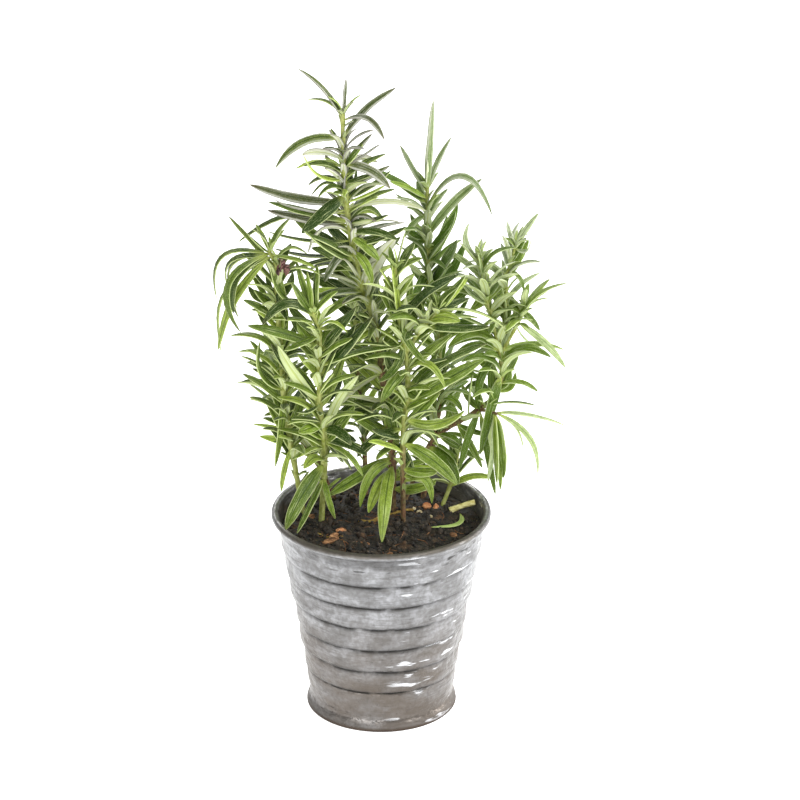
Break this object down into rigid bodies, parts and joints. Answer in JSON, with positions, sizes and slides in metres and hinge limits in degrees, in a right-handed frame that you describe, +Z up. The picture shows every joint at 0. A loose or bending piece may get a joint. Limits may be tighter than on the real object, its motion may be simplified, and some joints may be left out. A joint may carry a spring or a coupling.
{
  "type": "potted rosemary plant",
  "caption": "Rosemary with long narrow leaves on slender square stems, growing from dark peat in a tapered, ribbed, galvanised metal pot with a rolled rim",
  "frame": {"origin": "centre of the pot's flat underside", "axes": "+Z up along the pot's axis, -Y towards the viewer as pictured, +X to the right"},
  "size_m": [0.1762, 0.1232, 0.34],
  "materials": {
    "galvanised_steel": "weathered zinc, satin, mottled",
    "moist_peat": "dark, crumbly, fibrous",
    "bark": "dry bark",
    "leaf_grey_green": "leathery grey-green leaves on a woody stem",
    "leaf_green": "leathery green leaves on a woody stem",
    "leaf_deep_green": "leathery deep green leaves on a woody stem",
    "leaf_pale_green": "leathery pale green leaves on a woody stem"
  },
  "bodies": {
    "root": {"pot_wall": "galvanised_steel", "pot_base": "galvanised_steel", "soil": "moist_peat", "stem_main": "leaf_grey_green", "stem_left": "leaf_green", "stem_far_left": "leaf_green", "stem_centre_right": "leaf_green", "stem_back_right": "leaf_pale_green", "stem_far_right": "leaf_green", "stem_back_left": "leaf_deep_green", "stem_back_centre": "leaf_deep_green", "shoot_right_low": "leaf_green", "bark_chip_1": "bark", "bark_chip_2": "bark", "bark_chip_3": "bark", "bark_chip_4": "bark", "bark_chip_5": "bark", "fallen_leaf": "leaf_pale_green", "twig": "bark"}
  },
  "joints": []
}
